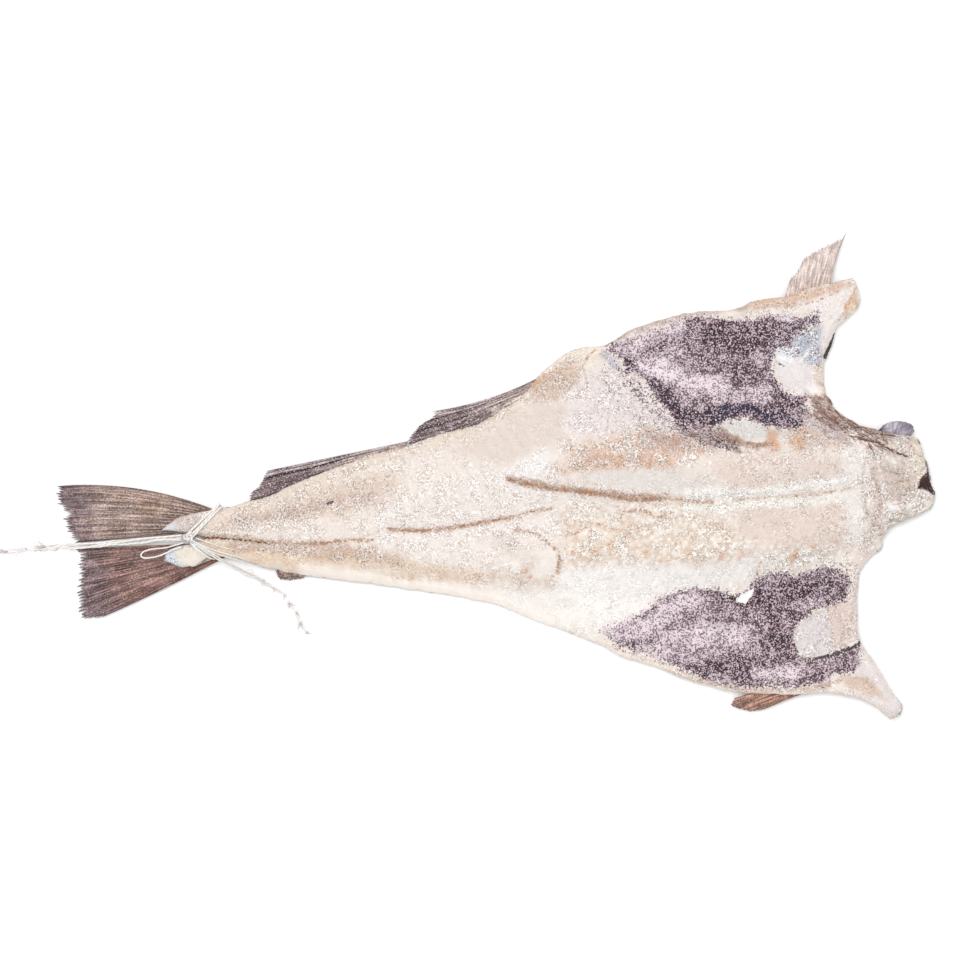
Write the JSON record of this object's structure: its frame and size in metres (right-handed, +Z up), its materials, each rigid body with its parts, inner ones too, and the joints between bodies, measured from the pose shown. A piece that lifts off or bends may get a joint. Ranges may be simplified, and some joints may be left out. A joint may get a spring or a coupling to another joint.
{
  "type": "salt cod",
  "caption": "Headless cod, split and opened flat, salted and dried, flesh side up, with spread tail fin, side fins, belly lining, collar points and twine tied round the tail.",
  "frame": {"origin": "middle of the fish's box, on the surface it lies on", "axes": "+X along the fish from the tail to the head end, +Y across it, +Z up, out of the flesh side"},
  "size_m": [0.7442, 0.3904, 0.027],
  "materials": {
    "flesh": "matt, salted and dry",
    "twine": "matt cotton twine"
  },
  "bodies": {
    "root": {"cod": "flesh", "twine_tie": "twine", "twine_end_long": "twine", "twine_end_short": "twine", "twine_loop": "twine"}
  },
  "joints": []
}
